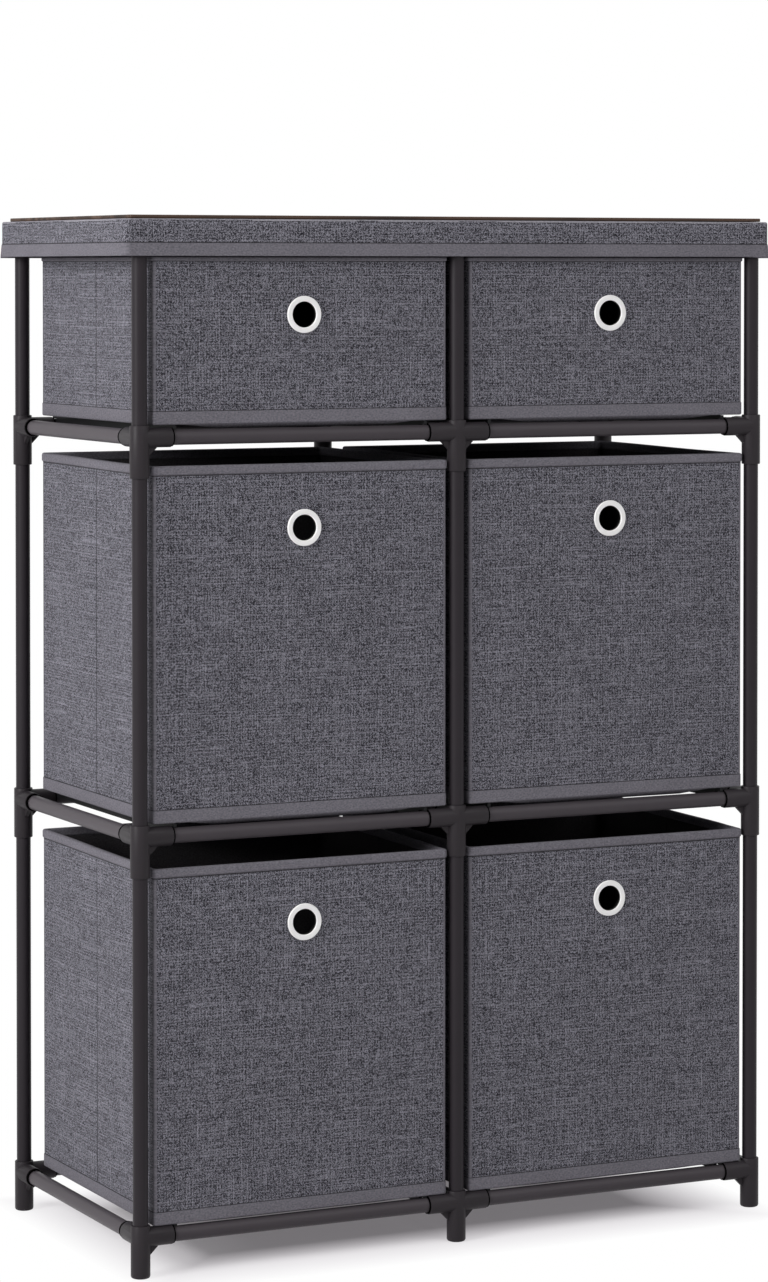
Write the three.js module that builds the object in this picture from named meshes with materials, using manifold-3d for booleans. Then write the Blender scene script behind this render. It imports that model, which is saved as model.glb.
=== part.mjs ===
// Fabric drawer dresser: a frame of steel tubes pushed into plastic connectors, six fabric drawers in
// two columns, support bars under the drawers, a fabric cover over the top and a thin wooden board on it.
// Units are millimetres, +Z is up, the front faces -Y and the origin lies on the floor under the centre.
import * as THREE from "three";
import { mergeVertices } from "three/addons/utils/BufferGeometryUtils.js";
import Module from "manifold-3d";

const wasm = await Module();
wasm.setup();

// Frame layout, measured between tube axes
const bayWidth = 305;
const frameDepth = 281;
const railHeights = { lower: 35, middle: 380.5, upper: 724.2 };
const topRailHeight = 899.5;

// Tubes and connectors
const tubeRadius = 6.7;
const tubeWall = 1;
const fitGap = 0.3;
const socketRadius = 8.5;
const socketReach = 30;
const socketFloor = 9.6;
const sleeveAbove = 10.5;
const sleeveBelow = 35;
const topSleeveBelow = 16;
const footFloor = 3;
const footChamfer = 1.6;
const gussetReach = 15.5;
const gussetDrop = 16.5;
const gussetThickness = 3;
const roundSides = 12;
const topFrameSides = 8;

// Drawers
const drawerWidth = 281.2;
const drawerDepth = 263;
const drawerFrontProud = 2.5;
const drawerLift = 4;
const largeDrawerHeight = 307.5;
const smallDrawerTop = 879.6;
const drawerWall = 3;
const drawerCornerRadius = 5;
const hemProud = 0.6;
const bottomHemHeight = 11.4;
const topHemHeight = { large: 8.5, small: 3.2 };
const grommetHeights = { lower: 296.4, middle: 642.1, upper: 828.2 };

// Grommet, the ring pull of a drawer
const grommetOuterRadius = 16.3;
const grommetHoleRadius = 11;
const grommetBarrelRadius = 12.8;
const grommetBackRadius = 15.2;
const grommetFrontThickness = 2.2;
const grommetBackThickness = 1.4;
const grommetSides = 16;

// Support bars under the drawers
const barThickness = 3;
const barHeight = 10;
const barInset = 20;
const barOverlap = 2;

// Top cover and board
const coverOverhangSide = 17;
const coverOverhangFront = 10.5;
const coverTop = 912.2;
const coverBottom = 880.2;
const coverFabric = 1.6;
const coverCornerRadius = 7;
const coverHemHeight = 11.2;
const boardThickness = 3;
const boardInset = 5.5;
const boardCornerRadius = 2.5;

const columns = [
  { side: "left", sign: -1 },
  { side: "centre", sign: 0 },
  { side: "right", sign: 1 },
];
const bays = [
  { side: "left", sign: -0.5 },
  { side: "right", sign: 0.5 },
];
const levels = Object.keys(railHeights);
const frontY = -frameDepth / 2;
const rearY = frameDepth / 2;

const finishes = {
  tube: { color: 0x36353a, roughness: 0.5, metalness: 0.6 },
  connector: { color: 0x302f33, roughness: 0.6, metalness: 0 },
  bar: { color: 0x1c1c1f, roughness: 0.55, metalness: 0.6 },
  linen: { color: 0x55565b, roughness: 0.95, metalness: 0 },
  cover: { color: 0x626268, roughness: 0.95, metalness: 0 },
  grommet: { color: 0xf1efe8, roughness: 0.4, metalness: 0 },
  board: { color: 0x3a2b22, roughness: 0.7, metalness: 0 },
};

const dresser = new THREE.Group();

// A closed solid from a closed geometry, with its shared vertices merged.
function solid(geometry) {
  const bare = geometry.index ? geometry.toNonIndexed() : geometry.clone();
  bare.deleteAttribute("normal");
  bare.deleteAttribute("uv");
  const merged = mergeVertices(bare, 1e-4);
  return new wasm.Manifold(
    new wasm.Mesh({
      numProp: 3,
      vertProperties: merged.attributes.position.array,
      triVerts: new Uint32Array(merged.index.array),
    }),
  );
}

function union(solids) {
  return solids.reduce((whole, piece) => whole.add(piece));
}

function addMesh(parent, name, shape, finish) {
  const cut = shape.getMesh();
  const geometry = new THREE.BufferGeometry();
  geometry.setAttribute("position", new THREE.BufferAttribute(cut.vertProperties, 3));
  geometry.setIndex(new THREE.BufferAttribute(cut.triVerts, 1));
  geometry.computeVertexNormals();
  const mesh = new THREE.Mesh(geometry, new THREE.MeshStandardMaterial(finishes[finish]));
  mesh.name = name;
  parent.add(mesh);
  return mesh;
}

// A round rod between two points of one axis: along is "x", "y" or "z", and from and to lie on it.
function rod(radius, along, from, to, sides = roundSides) {
  const circle = new THREE.Shape().absarc(0, 0, radius, 0, 2 * Math.PI);
  const geometry = new THREE.ExtrudeGeometry(circle, {
    depth: to - from,
    curveSegments: sides / 2,
    bevelEnabled: false,
  });
  geometry.translate(0, 0, from);
  if (along === "x") geometry.rotateY(Math.PI / 2);
  if (along === "y") geometry.rotateX(-Math.PI / 2);
  return solid(geometry);
}

// An outline of the plane, extruded along +Z.
function prism(shape, height, curveSegments = 3) {
  return new THREE.ExtrudeGeometry(shape, { depth: height, curveSegments, bevelEnabled: false });
}

function roundedRectangle(width, depth, radius) {
  const x = width / 2;
  const y = depth / 2;
  const shape = new THREE.Shape();
  shape.absarc(x - radius, y - radius, radius, 0, Math.PI / 2);
  shape.absarc(-x + radius, y - radius, radius, Math.PI / 2, Math.PI);
  shape.absarc(-x + radius, -y + radius, radius, Math.PI, 1.5 * Math.PI);
  shape.absarc(x - radius, -y + radius, radius, 1.5 * Math.PI, 2 * Math.PI);
  return shape;
}

function roundedBox(width, depth, radius, from, to) {
  const geometry = prism(roundedRectangle(width, depth, radius), to - from, 1.5);
  geometry.translate(0, 0, from);
  return solid(geometry);
}

// A hollow tube, open at both ends.
function tube(along, from, to) {
  const bore = rod(tubeRadius - tubeWall, along, from - 1, to + 1);
  return rod(tubeRadius, along, from, to).subtract(bore);
}

// Connectors

// The sleeve that a post passes through, closed at the foot or at the cap where it needs to be.
function sleeve(below, above) {
  const profile = [
    new THREE.Vector2(0, -below),
    new THREE.Vector2(socketRadius - footChamfer, -below),
    new THREE.Vector2(socketRadius, -below + footChamfer),
    new THREE.Vector2(socketRadius, above),
    new THREE.Vector2(0, above),
  ];
  return solid(new THREE.LatheGeometry(profile, roundSides).rotateX(Math.PI / 2));
}

// The triangular web under a socket, drawn for a socket along +X and turned to its direction.
function gusset(direction) {
  const half = gussetThickness / 2;
  const outline = new THREE.Shape([
    new THREE.Vector2(tubeRadius, -tubeRadius),
    new THREE.Vector2(tubeRadius, -gussetDrop),
    new THREE.Vector2(socketRadius, -gussetDrop),
    new THREE.Vector2(gussetReach, -socketRadius),
    new THREE.Vector2(gussetReach, -tubeRadius),
  ]);
  const web = prism(outline, gussetThickness).translate(0, 0, -half).rotateX(Math.PI / 2);
  const turn = { "+x": 0, "+y": Math.PI / 2, "-x": Math.PI, "-y": -Math.PI / 2 };
  return solid(web.rotateZ(turn[direction]));
}

function rodTowards(radius, direction, from, to) {
  const [sign, along] = direction;
  return sign === "+" ? rod(radius, along, from, to) : rod(radius, along, -to, -from);
}

// The outside of a connector: its sleeve, its sockets and their gussets, not yet bored.
function connectorBody(directions, below) {
  const sockets = directions.map((way) => rodTowards(socketRadius, way, 0, socketReach));
  return union([sleeve(below, sleeveAbove), ...sockets, ...directions.map(gusset)]);
}

// What a connector is bored out by: the post's bore and the blind bore of each open socket.
function connectorBores(openSockets, boreFrom, boreTo) {
  const boreRadius = tubeRadius + fitGap;
  const post = rod(boreRadius, "z", boreFrom, boreTo);
  return union([post, ...openSockets.map((way) => rodTowards(boreRadius, way, socketFloor, socketReach + 1))]);
}

// Where the post's bore starts and ends in a connector: a foot is closed below, the rest go through.
function postBore(level) {
  const from = level === "lower" ? -sleeveBelow + footFloor : -sleeveBelow - 1;
  return { from, to: sleeveAbove + 1 };
}

function makeFrontConnectors(parent, level) {
  const ways = { left: ["+x", "+y"], centre: ["-x", "+x", "+y"], right: ["-x", "+y"] };
  const bore = postBore(level);
  for (const { side, sign } of columns) {
    const body = connectorBody(ways[side], sleeveBelow);
    const shape = body.subtract(connectorBores(ways[side], bore.from, bore.to));
    const name = level === "lower" ? `foot_front_${side}` : `connector_front_${side}_${level}`;
    addMesh(parent, name, shape, "connector").position.set(sign * bayWidth, frontY, 0);
  }
}

// The rear line of one level: two rails joined by three connectors whose side sockets face the front.
function makeRearCrossbar(parent, level) {
  const ways = { left: ["+x", "-y"], centre: ["-x", "+x", "-y"], right: ["-x", "-y"] };
  const bore = postBore(level);
  const bodies = [rod(tubeRadius, "x", -bayWidth, bayWidth)];
  const bores = [rod(tubeRadius - tubeWall, "x", -bayWidth, bayWidth)];
  for (const { side, sign } of columns) {
    bodies.push(connectorBody(ways[side], sleeveBelow).translate([sign * bayWidth, 0, 0]));
    bores.push(connectorBores(["-y"], bore.from, bore.to).translate([sign * bayWidth, 0, 0]));
  }
  const shape = union(bodies).subtract(union(bores));
  addMesh(parent, `rear_crossbar_${level}`, shape, "tube").position.set(0, rearY, 0);
}

// Tubes

function makeRails(parent, level) {
  const start = socketFloor + fitGap;
  const across = tube("x", start, bayWidth - start);
  for (const { side, sign } of bays) {
    const x = (sign - 0.5) * bayWidth;
    addMesh(parent, `front_rail_${side}_${level}`, across, "tube").position.set(x, frontY, 0);
  }
  const deep = tube("y", start, frameDepth - start);
  for (const { side, sign } of columns) {
    addMesh(parent, `depth_rail_${side}_${level}`, deep, "tube").position.set(sign * bayWidth, frontY, 0);
  }
}

function makePosts(parent) {
  const from = footFloor + fitGap;
  const to = topRailHeight + tubeRadius;
  const shape = tube("z", from, to);
  for (const { side, sign } of columns) {
    addMesh(parent, `post_front_${side}`, shape, "tube").position.set(sign * bayWidth, frontY, 0);
    addMesh(parent, `post_rear_${side}`, shape, "tube").position.set(sign * bayWidth, rearY, 0);
  }
}

// The level hidden under the cover: seven rails and the six caps that the posts end in, joined as one piece.
function makeTopFrame(parent) {
  const inner = tubeRadius - tubeWall;
  const sides = topFrameSides;
  const bodies = [];
  const bores = [];
  for (const y of [frontY, rearY]) {
    bodies.push(rod(tubeRadius, "x", -bayWidth, bayWidth, sides).translate([0, y, 0]));
    bores.push(rod(inner, "x", -bayWidth, bayWidth, sides).translate([0, y, 0]));
  }
  for (const { sign } of columns) {
    const x = sign * bayWidth;
    bodies.push(rod(tubeRadius, "y", frontY, rearY, sides).translate([x, 0, 0]));
    bores.push(rod(inner, "y", frontY, rearY, sides).translate([x, 0, 0]));
    for (const y of [frontY, rearY]) {
      bodies.push(sleeve(topSleeveBelow, sleeveAbove).translate([x, y, 0]));
      bores.push(connectorBores([], -topSleeveBelow - 1, tubeRadius + fitGap).translate([x, y, 0]));
    }
  }
  const shape = union(bodies).subtract(union(bores));
  addMesh(parent, "top_frame", shape, "tube").position.set(0, 0, topRailHeight);
}

// Support bars: flat steel on edge, its two ends lying on the front and rear rails.
function makeSupportBars(parent, level) {
  const top = tubeRadius + drawerLift - fitGap;
  const seat = tubeRadius + fitGap;
  const clear = tubeRadius + 2 * fitGap;
  const outline = new THREE.Shape([
    new THREE.Vector2(frontY - barOverlap, seat),
    new THREE.Vector2(frontY + clear, seat),
    new THREE.Vector2(frontY + clear, top - barHeight),
    new THREE.Vector2(rearY - clear, top - barHeight),
    new THREE.Vector2(rearY - clear, seat),
    new THREE.Vector2(rearY + barOverlap, seat),
    new THREE.Vector2(rearY + barOverlap, top),
    new THREE.Vector2(frontY - barOverlap, top),
  ]);
  const upright = prism(outline, barThickness).translate(0, 0, -barThickness / 2);
  const shape = solid(upright.rotateX(Math.PI / 2).rotateZ(Math.PI / 2));
  const spread = drawerWidth / 2 - barInset;
  for (const bay of bays) {
    for (const { side, sign } of columns.filter((column) => column.sign !== 0)) {
      const name = `support_bar_${bay.side}_${level}_${side}`;
      addMesh(parent, name, shape, "bar").position.set(bay.sign * bayWidth + sign * spread, 0, 0);
    }
  }
}

// Drawers

// The stiffened fabric box, with a hem band round its top and bottom and a hole for the grommet.
function drawerShell(height, topHem, grommetHeight) {
  const band = 2 * hemProud;
  const outer = union([
    roundedBox(drawerWidth, drawerDepth, drawerCornerRadius, 0, height),
    roundedBox(drawerWidth + band, drawerDepth + band, drawerCornerRadius + hemProud, 0, bottomHemHeight),
    roundedBox(drawerWidth + band, drawerDepth + band, drawerCornerRadius + hemProud, height - topHem, height),
  ]);
  const inner = roundedBox(
    drawerWidth - 2 * drawerWall,
    drawerDepth - 2 * drawerWall,
    drawerCornerRadius - drawerWall,
    drawerWall,
    height + 1,
  );
  const hole = rod(grommetBarrelRadius + fitGap, "y", -drawerDepth, 0, grommetSides);
  return outer.subtract(inner).subtract(hole.translate([0, 0, grommetHeight]));
}

// A ring of two flanges and a barrel, which clasps the wall round the hole.
function grommetRing() {
  const roll = grommetFrontThickness / 2;
  const wallFront = fitGap;
  const wallBack = -drawerWall - fitGap;
  const profile = [
    new THREE.Vector2(grommetHoleRadius, wallBack - grommetBackThickness),
    new THREE.Vector2(grommetBackRadius, wallBack - grommetBackThickness),
    new THREE.Vector2(grommetBackRadius, wallBack),
    new THREE.Vector2(grommetBarrelRadius, wallBack),
    new THREE.Vector2(grommetBarrelRadius, wallFront),
    new THREE.Vector2(grommetOuterRadius, wallFront),
    new THREE.Vector2(grommetOuterRadius - roll / 2, wallFront + roll),
    new THREE.Vector2(grommetOuterRadius - 2 * roll, wallFront + grommetFrontThickness),
    new THREE.Vector2(grommetHoleRadius + roll, wallFront + grommetFrontThickness),
    new THREE.Vector2(grommetHoleRadius, wallFront + roll),
    new THREE.Vector2(grommetHoleRadius, wallBack - grommetBackThickness),
  ];
  return solid(new THREE.LatheGeometry(profile, grommetSides).rotateX(Math.PI));
}

function makeDrawers(parent, level) {
  const bottom = railHeights[level] + tubeRadius + drawerLift;
  const size = level === "upper" ? "small" : "large";
  const height = size === "small" ? smallDrawerTop - bottom : largeDrawerHeight;
  const grommetHeight = grommetHeights[level] - bottom;
  const shell = drawerShell(height, topHemHeight[size], grommetHeight);
  const ring = grommetRing();
  for (const { side, sign } of bays) {
    const drawer = new THREE.Group();
    drawer.position.set(sign * bayWidth, frontY - drawerFrontProud + drawerDepth / 2, bottom);
    parent.add(drawer);
    addMesh(drawer, `drawer_${side}_${level}`, shell, "linen");
    const grommet = addMesh(drawer, `grommet_${side}_${level}`, ring, "grommet");
    grommet.position.set(0, -drawerDepth / 2, grommetHeight);
  }
}

// Top

// The fabric cover: a flat top and a skirt whose lower hem is a doubled band.
function makeCover(parent) {
  const width = 2 * (bayWidth + coverOverhangSide);
  const depth = frameDepth + 2 * coverOverhangFront;
  const inset = 2 * hemProud;
  const outer = union([
    roundedBox(width - inset, depth - inset, coverCornerRadius - hemProud, coverBottom, coverTop),
    roundedBox(width, depth, coverCornerRadius, coverBottom, coverBottom + coverHemHeight),
  ]);
  const inner = roundedBox(
    width - 2 * coverFabric,
    depth - 2 * coverFabric,
    coverCornerRadius - coverFabric,
    coverBottom - 1,
    coverTop - coverFabric,
  );
  addMesh(parent, "top_cover", outer.subtract(inner), "cover");
}

function makeBoard(parent) {
  const width = 2 * (bayWidth + coverOverhangSide - boardInset);
  const depth = frameDepth + 2 * (coverOverhangFront - boardInset);
  const from = coverTop + fitGap;
  const shape = roundedBox(width, depth, boardCornerRadius, from, from + boardThickness);
  addMesh(parent, "top_board", shape, "board");
}

for (const level of levels) {
  const tier = new THREE.Group();
  tier.position.z = railHeights[level];
  dresser.add(tier);
  makeFrontConnectors(tier, level);
  makeRearCrossbar(tier, level);
  makeRails(tier, level);
  makeSupportBars(tier, level);
  makeDrawers(dresser, level);
}
makePosts(dresser);
makeTopFrame(dresser);
makeCover(dresser);
makeBoard(dresser);

export default dresser;
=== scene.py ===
"""Fabric drawer dresser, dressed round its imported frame.

Steel tubes stand in moulded connectors, six linen drawers with hemmed rims stand between them on flat bars,
and a sewn linen cover with a thin wooden board closes the top. Sizes are metres, +Z is up, and the front
faces -Y.
"""

import math
from contextlib import contextmanager

import bmesh
import bpy
from bpy.props import FloatProperty, FloatVectorProperty, IntProperty, PointerProperty
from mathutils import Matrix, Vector


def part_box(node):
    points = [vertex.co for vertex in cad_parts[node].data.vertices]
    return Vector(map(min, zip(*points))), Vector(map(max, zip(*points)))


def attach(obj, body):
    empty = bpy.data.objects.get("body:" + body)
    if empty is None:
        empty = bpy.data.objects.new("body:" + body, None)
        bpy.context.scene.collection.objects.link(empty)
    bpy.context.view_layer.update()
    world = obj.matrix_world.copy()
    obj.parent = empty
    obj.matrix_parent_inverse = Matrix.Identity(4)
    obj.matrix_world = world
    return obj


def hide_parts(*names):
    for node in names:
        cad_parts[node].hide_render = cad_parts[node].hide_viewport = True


bl_info = {
    "name": "Fabric Drawer Dresser",
    "version": (1, 0, 0),
    "blender": (4, 5, 0),
    "location": "View3D > Sidebar > Dresser",
    "description": "Builds a tube-framed dresser with six fabric drawers, piece by piece",
    "category": "Add Mesh",
}

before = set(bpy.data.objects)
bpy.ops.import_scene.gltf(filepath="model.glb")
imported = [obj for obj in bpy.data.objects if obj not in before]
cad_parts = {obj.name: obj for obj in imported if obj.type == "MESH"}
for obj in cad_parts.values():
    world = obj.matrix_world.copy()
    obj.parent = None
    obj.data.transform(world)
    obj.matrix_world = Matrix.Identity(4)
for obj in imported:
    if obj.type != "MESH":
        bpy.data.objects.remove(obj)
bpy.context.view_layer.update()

LEVELS = ("lower", "middle", "upper")
COLUMNS = ("left", "centre", "right")
BAYS = ("left", "right")
RIGID_BODY = "frame"
X_AXIS = Vector((1, 0, 0))
Y_AXIS = Vector((0, 1, 0))
Z_AXIS = Vector((0, 0, 1))
ORIGIN = Vector((0, 0, 0))
WAYS = {"+x": X_AXIS, "-x": -X_AXIS, "+y": Y_AXIS}
OPPOSITE = {"left": "right", "centre": "centre", "right": "left"}

# Edges that turn more than this are rounded
ROUND_ANGLE = math.radians(50)
# Edges that turn less than this are shaded smooth
SMOOTH_ANGLE = math.radians(35)
# How near to a plane a vertex counts as lying on it
HAIR = 1e-5
# How far a piece reaches into its neighbour, or a cutter past what it cuts
OVER = 0.001


def middle(node):
    """The centre of a node of the frame."""
    low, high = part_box(node)
    return (low + high) / 2


def rail_height(level):
    """The height of the rails' axis at a drawer level or at the top."""
    return TOP_RAIL_HEIGHT if level == "top" else middle(f"front_rail_left_{level}").z


def chosen(group):
    """The settings of one group of pieces."""
    return getattr(bpy.context.scene, f"dresser_{group}")


post_low, post_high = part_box("post_front_left")
foot_low, foot_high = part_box("foot_front_left")
top_low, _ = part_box("top_frame")
POST_PLACE = {
    (row, column): middle(f"post_{row}_{column}") for row in ("front", "rear") for column in COLUMNS
}
POST_X = POST_PLACE["front", "left"].x
TUBE_RADIUS = (post_high.x - post_low.x) / 2
TOP_RAIL_HEIGHT = post_high.z - TUBE_RADIUS


# Settings


def number(name, description, default, **more):
    """A number that a user may change, with its unit or its limits."""
    return FloatProperty(name=name, description=description, default=default, **more)


def length(name, description, default):
    return number(name, description, default, unit="LENGTH", precision=5)


def share(name, description, default):
    return number(name, description, default, min=0, max=1, precision=3)


def colour(name, description, default):
    return FloatVectorProperty(
        name=name, description=description, default=default, size=3, subtype="COLOR", min=0, max=1
    )


class TubeSettings(bpy.types.PropertyGroup):
    """The steel tubes: posts and rails."""

    radius: length("Radius", "Outer radius of a tube", TUBE_RADIUS)
    wall: length("Wall", "Thickness of the steel", 0.001)
    sides: IntProperty(name="Sides", description="Flats round a tube", default=40, min=8)
    post_paint: colour("Post paint", "Powder coat of the posts", (0.0205, 0.0170, 0.0205))
    # The rail paints are the posts' powder coat made lighter. This is painted light, standing in for the
    # light from above on the rails along X and the key lamp's sheen on the rails along Y
    rail_paint: colour("Rail paint", "Powder coat of the rails along X", (0.0530, 0.0459, 0.0520))
    deep_paint_with_painted_light: colour("Deep rail paint", "Powder coat of the rails along Y", (0.0702, 0.0608, 0.0689))
    bar_paint: colour("Bar paint", "Paint of the flat bars under the drawers", (0.007, 0.007, 0.008))


class ConnectorSettings(bpy.types.PropertyGroup):
    """The moulded connectors that hold the tubes."""

    radius: length("Radius", "Outer radius of sleeves and sockets", POST_X - foot_low.x)
    reach: length("Reach", "How far a socket stands out from the post's axis", foot_high.x - POST_X)
    lip: length("Lip", "Rounding of each open rim", 0.0006)
    clearance: length("Clearance", "Room between a tube and its bore", 0.0003)
    neck: length("Neck", "How far a socket's black neck stays inside its surface", 0.0006)
    neck_length: length("Neck length", "Length of that neck at the sockets along X", 0.0012)
    deep_neck: length("Deep neck", "Length of that neck at the sockets along Y", 0.0034)
    above: length("Above", "Sleeve above a rail's axis", foot_high.z - rail_height("lower"))
    below: length("Below", "Sleeve below a rail's axis", rail_height("lower") - foot_low.z)
    cap_below: length("Cap below", "Sleeve below the top rails' axis", TOP_RAIL_HEIGHT - top_low.z)
    socket_floor: length("Socket floor", "Where a socket's bore ends, from the post's axis", 0.0096)
    foot_floor: length("Foot floor", "Thickness under a post in its foot", 0.003)
    foot_round: length("Foot rounding", "Rounding of a foot's lower edge", 0.0018)
    web_reach: length("Web reach", "How far the web under a socket stands out", 0.0155)
    web_drop: length("Web drop", "How far that web reaches down the sleeve", 0.0165)
    web_slope: length("Web slope", "Size of the web's slanting corner", 0.0078)
    web_thickness: length("Web thickness", "Thickness of that web", 0.0034)
    sides: IntProperty(name="Sides", description="Flats round a sleeve", default=48, min=8)
    plastic: colour("Plastic", "Colour of the connectors", (0.0270, 0.0230, 0.0265))
    # The necks' near-black is painted shade: the dark ring where a tube enters its socket
    neck_plastic: colour("Neck plastic", "Colour of the necks", (0.002, 0.002, 0.002))


class DrawerSettings(bpy.types.PropertyGroup):
    """The fabric drawers."""

    cad_hem: length("Frame hem", "How far the frame's own hem stands out", 0.0006)
    corner: length("Corner", "Rounding of the upright edges", 0.0021)
    cloth: length("Cloth", "Thickness of linen and its board", 0.0016)
    lining: length("Lining", "Thickness of the black lining", 0.001)
    hem_proud: length("Hem proud", "How far the rim's hem stands out from the linen", 0.0015)
    hem_height: length("Hem height", "Height of a large drawer's rim hem", 0.0083)
    small_hem_height: length("Small hem height", "Height of a small drawer's rim hem", 0.0036)
    hem_thickness: length("Hem thickness", "Thickness of the rim where the hem folds over it", 0.0048)
    hem_round: length("Hem rounding", "Rounding of the hem's fold", 0.0021)
    rear_rise: length("Rear rise", "How much higher a large drawer's rim stands at the rear", 0.0013)
    rim_lift: length("Rim lift", "How much higher a middle drawer's rim lies than in the frame", 0.00085)
    low_rim_lift: length("Low rim lift", "The same for the lowest drawers", 0.0004)
    front_sink: length("Front sink", "How far the front of a lowest drawer's rim sinks", 0.0010)
    front_reach: length("Front reach", "How far back its sides sink with it", 0.05)
    base_drop: length("Base drop", "How much lower the bottom band of the lowest drawers hangs", 0.0021)
    base_height: length("Base height", "Height of the band round the bottom", 0.0114)
    base_proud: length("Base proud", "How far the bottom band stands out from the linen", 0.0009)
    base_round: length("Base rounding", "Rounding of the bottom edge", 0.0016)
    sag: length("Sag", "How far the bottom hangs down between the support bars", 0.0036)
    low_sag: length("Low sag", "The same for the lowest drawers", 0.0014)
    crease: length("Crease", "Depth of the stitched fold line down each side", 0.0007)
    crease_width: length("Crease width", "Half the width of that fold line", 0.0007)
    bulge: length("Bulge", "How far a panel swells in its middle", 0.0007)
    slack: length("Slack", "Height of the small waves in a panel", 0.0011)
    slack_size: length("Slack size", "Width of those waves", 0.11)
    binding: length("Binding", "Width of the plain strip beside each upright edge", 0.0002)
    seam: length("Seam", "Height of a sewn seam line", 0.0010)
    linen_dark: colour("Dark thread", "Dark threads of the linen", (0.020, 0.019, 0.025))
    linen_light: colour("Light thread", "Light threads of the linen", (0.300, 0.293, 0.340))
    hem_colour: colour("Hem", "Plain cloth of the hems", (0.168, 0.160, 0.184))
    lining_colour: colour("Lining", "Black cloth inside and below", (0.055, 0.051, 0.056))
    # The seams' dark thread is partly real stitching and partly painted shade along the hems' edges
    seam_thread_and_shade_colour: colour("Seam", "Dark thread of the sewn seams", (0.045, 0.043, 0.049))


class EyeletSettings(bpy.types.PropertyGroup):
    """The ring pulls."""

    aside: length("Aside", "How far it sits to the right of its place in the frame", 0.0015)
    lift: length("Lift", "How far it sits above that place", 0.0011)
    hole: length("Hole", "Radius of the hole", 0.0113)
    barrel: length("Barrel", "Radius of the barrel in the wall", 0.0128)
    back: length("Back", "Radius of the back flange", 0.0152)
    outer: length("Outer", "Radius of the front flange", 0.0163)
    front_thickness: length("Front thickness", "Height of the front flange", 0.0022)
    back_thickness: length("Back thickness", "Height of the back flange", 0.0014)
    wall: length("Wall", "Thickness of the drawer wall that it clasps", 0.003)
    gap: length("Gap", "Gap between a flange and the wall", 0.0003)
    dish: length("Dish", "Depth of the hollow round the ring's face", 0.00035)
    undercut: length("Undercut", "How much wider the barrel is than the hole in the ring", 0.0007)
    sides: IntProperty(name="Sides", description="Flats round the ring", default=72, min=16)
    plastic: colour("Plastic", "Colour of the ring", (0.99, 0.965, 0.96))
    washer: colour("Washer", "Colour of the barrel and washer behind it", (0.006, 0.006, 0.006))


class CoverSettings(bpy.types.PropertyGroup):
    """The sewn cover over the top."""

    cloth: length("Cloth", "Thickness of the cover", 0.0014)
    corner: length("Corner", "Rounding of its upright edges", 0.007)
    edge: length("Edge", "Rounding of its top edge", 0.0016)
    contrast: number("Contrast", "Contrast of its weave against the drawers'", 1.3)
    # fold is a painted highlight: lighter cloth on the cover's rounded top edge, standing in for the light
    # that this edge catches
    fold: colour("Fold", "Painted highlight on its top edge", (0.31, 0.30, 0.335))
    hem_height: length("Hem height", "Height of the hem band", 0.0112)
    hem_proud: length("Hem proud", "How far the hem stands out", 0.0006)
    flare: length("Flare", "How far the hem spreads at its lower edge", 0.0008)
    hem_sink: length("Hem sink", "How much lower the hem hangs at the rear and on the right", 0.0012)
    shift: length("Shift", "How far the cover and its board lie to the left of the middle", 0.0014)
    trim: length("Trim", "How much shorter it is at its right end than in the frame", 0.0011)
    slack: length("Slack", "Height of the small waves in the skirt", 0.0009)
    slack_size: length("Slack size", "Width of those waves", 0.07)


class BoardSettings(bpy.types.PropertyGroup):
    """The thin board on the cover."""

    inset: length("Inset", "How much shorter it is at each end than in the frame", 0.0025)
    edge: length("Edge", "Rounding of its edges", 0.0007)
    corner: length("Corner", "Rounding of its upright edges", 0.0025)
    heartwood: colour("Heartwood", "Dark grain of the board", (0.020, 0.012, 0.009))
    sapwood: colour("Sapwood", "Light grain of the board", (0.105, 0.058, 0.037))


class StageSettings(bpy.types.PropertyGroup):
    """Floor, lamps and camera."""

    camera_place: FloatVectorProperty(
        name="Camera place", description="Where the camera stands", default=(-1.6201, -3.3250, 0.8671),
        size=3, unit="LENGTH",
    )
    camera_turn: number("Camera turn", "Turn from straight ahead", math.radians(25.929), unit="ROTATION")
    camera_dip: number("Camera dip", "Tilt below the horizon", math.radians(1.4), unit="ROTATION")
    lens: number("Lens", "Focal length in millimetres", 112.733)
    horizon: number("Horizon", "Rise of the horizon over the picture's middle", 0.28851)
    key_power: number("Key", "Power of the lamp on the left", 92, unit="POWER")
    front_power: number("Front", "Power of the lamp high in front", 36, unit="POWER")
    sky_front: share("Sky in front", "Strength of the soft light from before the dresser", 0.10)
    sky_behind: share("Sky behind", "Strength of the soft light from behind and above it", 0.38)
    floor_colour: colour("Floor", "Colour of the floor", (0.87, 0.865, 0.87))
    # The shadow's glow is painted light: a tinted white that the floor gives off where its shadow lies
    shadow_glow_tint: colour("Shadow glow tint", "Colour of the white that the shadow itself holds", (1, 0.935, 1))
    floor_half_width: length("Shadow half width", "Where the floor begins to turn white, along X", 0.215)
    floor_half_depth: length("Shadow half depth", "Where the floor begins to turn white, along Y", 0.09)
    floor_fade: length("Fade", "Over which distance it turns white", 0.13)
    shadow_glow_share: share("Lift", "How much white the shadow itself holds", 0.165)


# Hand tools


def deselect():
    bpy.ops.object.select_all(action="DESELECT")


def make_active(piece):
    """Selects one piece and nothing else."""
    deselect()
    piece.select_set(True)
    bpy.context.view_layer.objects.active = piece


@contextmanager
def editing(piece):
    """Edit mode on one piece."""
    make_active(piece)
    bpy.ops.object.mode_set(mode="EDIT")
    yield
    bpy.ops.object.mode_set(mode="OBJECT")


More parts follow.
